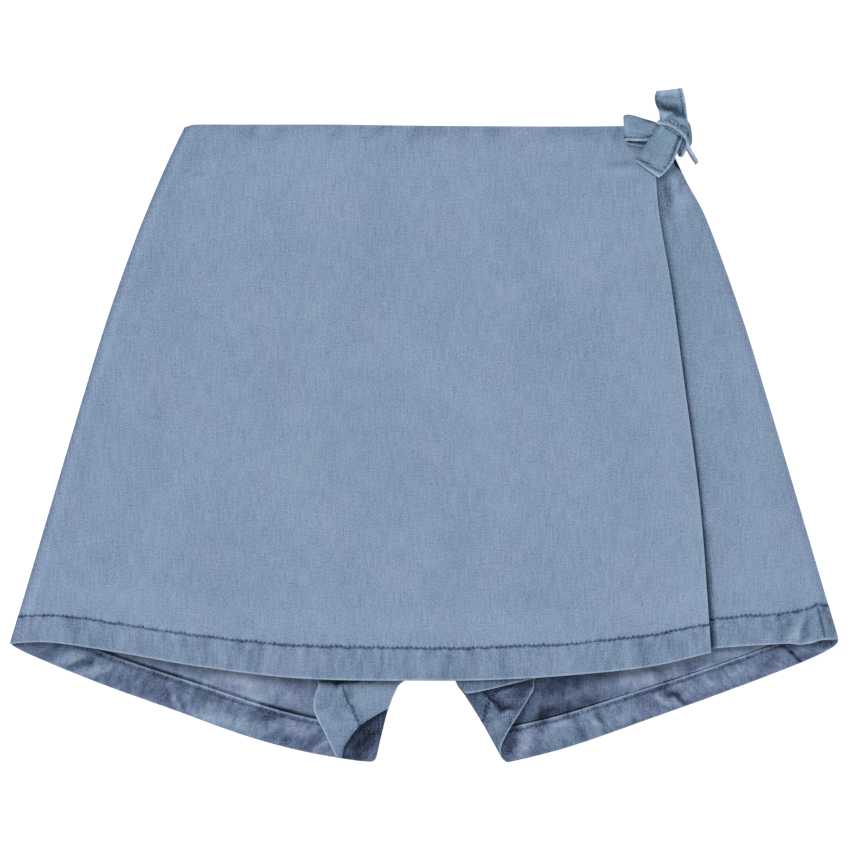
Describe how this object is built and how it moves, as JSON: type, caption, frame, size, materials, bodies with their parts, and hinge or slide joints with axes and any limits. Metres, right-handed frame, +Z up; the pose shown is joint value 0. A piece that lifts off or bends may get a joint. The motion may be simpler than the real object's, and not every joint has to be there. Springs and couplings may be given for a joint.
{
  "type": "skort",
  "caption": "Child's wrap-front skort laid flat: shorts under overlapping skirt panels, with a tie tied in a bow at one side of the waist.",
  "frame": {"origin": "middle of the footprint, on the surface that the skort lies on", "axes": "+X to the side of the bow, +Y from the leg hems to the waist, +Z up, from the back of the skort to its front"},
  "size_m": [0.4466, 0.3645, 0.0155],
  "materials": {
    "chambray": "washed light blue chambray, matte, with fine vertical slubs",
    "tie": "washed light blue chambray, matte, doubled and stitched along its edges"
  },
  "bodies": {
    "root": {"front_wrap": "chambray", "under_wrap": "chambray", "front_leg_left": "chambray", "front_leg_right": "chambray", "back_leg_left": "chambray", "back_leg_right": "chambray", "tie_loop_left": "tie", "tie_loop_upper": "tie", "tie_knot": "tie", "tie_tail_front": "tie", "tie_tail_back": "tie"}
  },
  "joints": []
}
